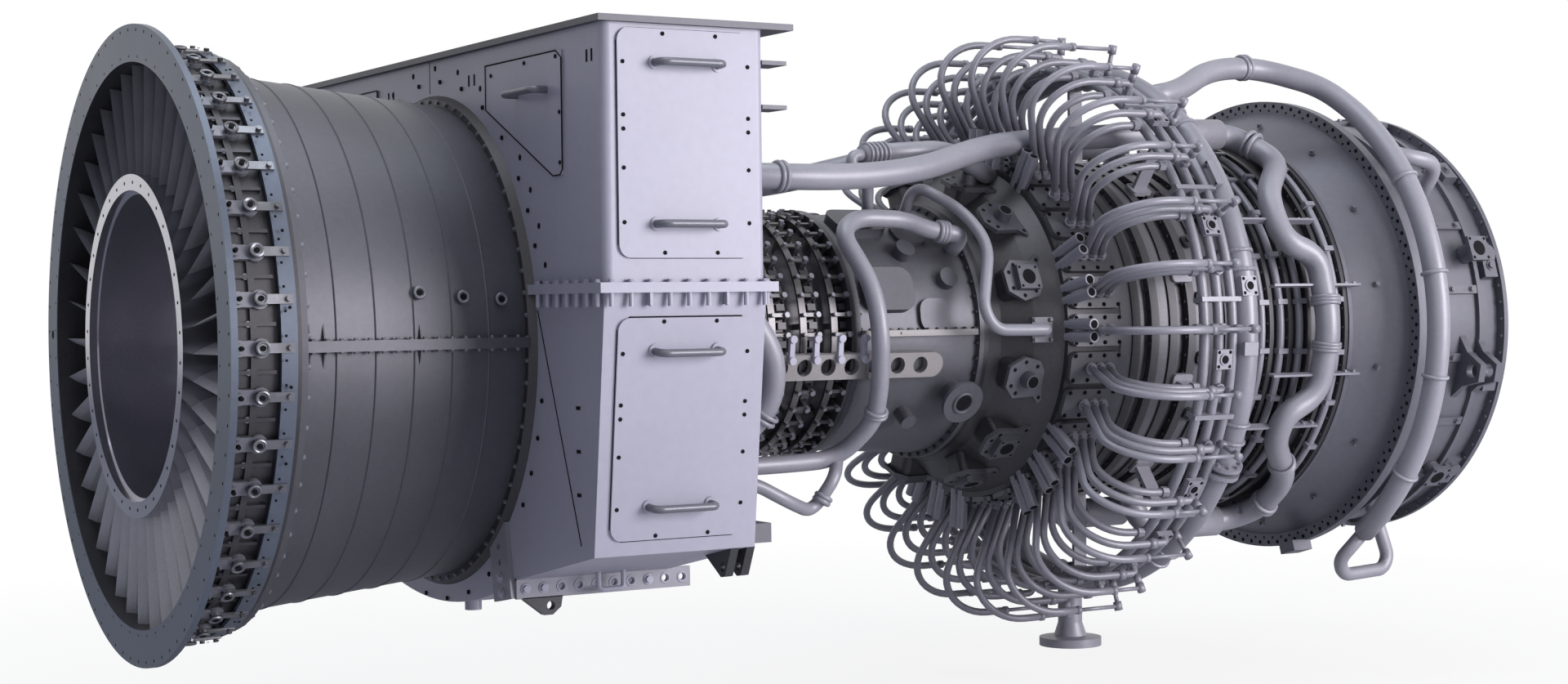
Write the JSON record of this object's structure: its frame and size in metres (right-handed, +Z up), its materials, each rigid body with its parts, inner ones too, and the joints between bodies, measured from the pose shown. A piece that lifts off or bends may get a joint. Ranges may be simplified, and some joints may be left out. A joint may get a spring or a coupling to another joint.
{
  "type": "aeroderivative gas turbine",
  "caption": "Industrial gas turbine: ringed intake with guide vanes, barrel compressor, bleed collector box, combustor under hooped fuel pipes, ribbed turbine cases and rear frame.",
  "frame": {"origin": "centre of the intake flange's front face, on the engine axis", "axes": "+X along the engine axis towards the exhaust, +Z up, -Y towards the viewer"},
  "size_m": [4.86, 2.492, 2.2003],
  "materials": {
    "dark_case": "satin",
    "case_metal": "satin",
    "box_paint": "satin",
    "pipe_metal": "satin",
    "lever_steel": "satin",
    "blade_metal": "satin",
    "polished_steel": "polished",
    "beam_paint": "satin"
  },
  "bodies": {
    "root": {"intake_case": "dark_case", "inlet_guide_vanes": "blade_metal", "inlet_hub": "polished_steel", "first_blade_row": "blade_metal", "vane_levers": "lever_steel", "unison_ring": "dark_case", "compressor_case_upper": "case_metal", "compressor_case_lower": "case_metal", "case_seat_ring": "dark_case", "bleed_box_upper": "box_paint", "bleed_box_lower": "box_paint", "box_lid": "box_paint", "side_covers_upper": "box_paint", "side_covers_lower": "box_paint", "front_panels": "box_paint", "cover_handles": "lever_steel", "base_strips": "pipe_metal", "base_lugs": "dark_case", "box_shelves": "box_paint", "core_compressor_case": "dark_case", "stator_rings": "lever_steel", "stator_levers": "lever_steel", "actuator_beams": "beam_paint", "core_rear_case": "case_metal", "combustor_dome": "dark_case", "premixer_band": "dark_case", "premixer_plates": "pipe_metal", "fuel_pipes_outer": "pipe_metal", "fuel_pipes_middle": "pipe_metal", "fuel_pipes_inner": "pipe_metal", "fuel_ring_front": "pipe_metal", "fuel_ring_middle": "pipe_metal", "fuel_ring_rear": "pipe_metal", "gas_manifold": "pipe_metal", "manifold_brackets": "pipe_metal", "drain_flange": "pipe_metal", "front_turbine_case": "dark_case", "rear_turbine_case": "dark_case", "cooling_tubes": "pipe_metal", "turbine_cone": "case_metal", "turbine_rear_frame": "case_metal", "rear_mounts": "case_metal", "cooling_ducts": "pipe_metal", "arch_pipe": "pipe_metal", "bleed_pipes": "pipe_metal"}
  },
  "joints": []
}
